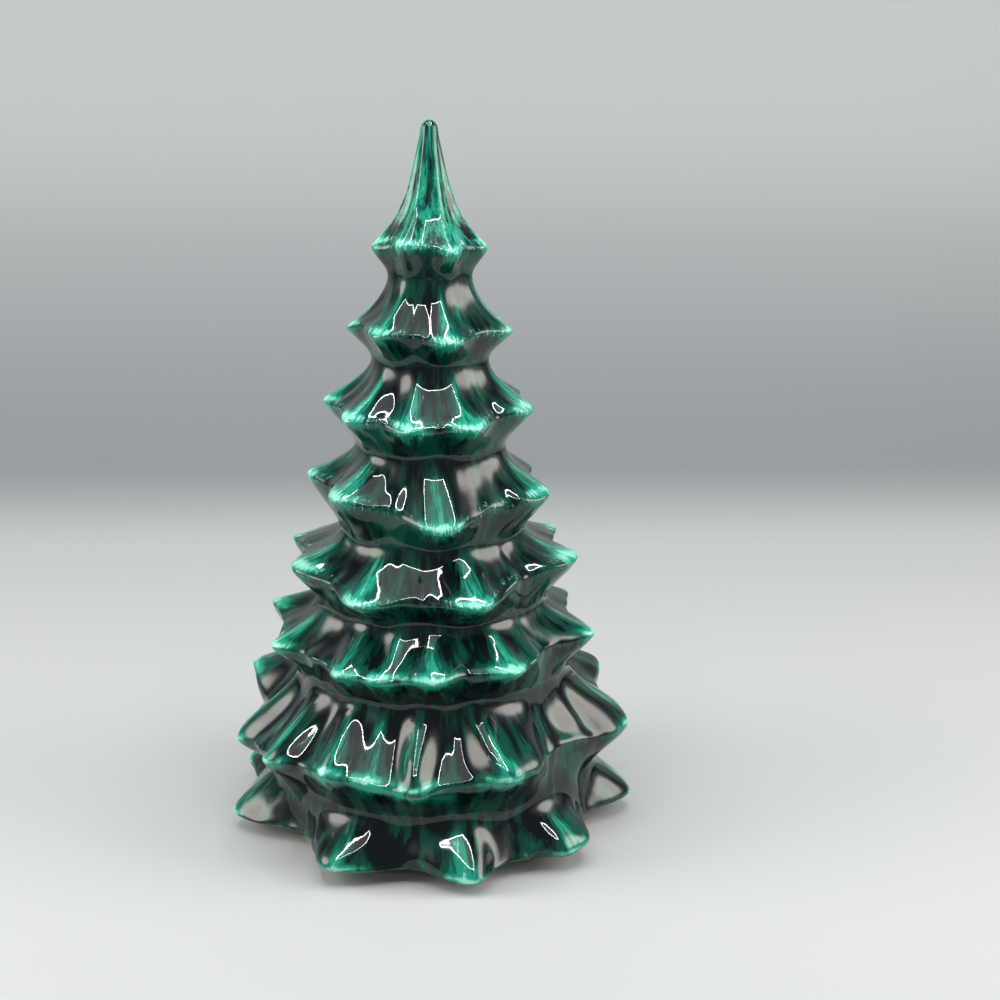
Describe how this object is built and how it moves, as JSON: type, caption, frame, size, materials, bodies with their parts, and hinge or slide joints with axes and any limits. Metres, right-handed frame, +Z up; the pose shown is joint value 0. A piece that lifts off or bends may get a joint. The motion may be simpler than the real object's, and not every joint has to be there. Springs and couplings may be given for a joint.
{
  "type": "ceramic christmas tree",
  "caption": "Free-standing hollow ceramic conifer with a spire and stacked tiers of blunt branches under a glossy dark green glaze, on felt pads; a table-top seasonal ornament.",
  "frame": {"origin": "centre of the foot, on the surface that the felt pads rest on", "axes": "+Z up along the trunk axis; -Y is the front seen in the picture, +X is the picture's right"},
  "size_m": [0.1377, 0.1383, 0.2302],
  "materials": {
    "clay": "dry unglazed fired earthenware, off-white, fine-grained",
    "glaze": "glossy flowing glaze, near-black green in the hollows, breaking to bright jade on ridges, tips and lips",
    "felt": "thin pressed felt, dark green"
  },
  "bodies": {
    "root": {"tree_casting": "clay", "glaze_coat": "glaze", "felt_pad_1": "felt", "felt_pad_2": "felt", "felt_pad_3": "felt", "felt_pad_4": "felt"}
  },
  "joints": []
}
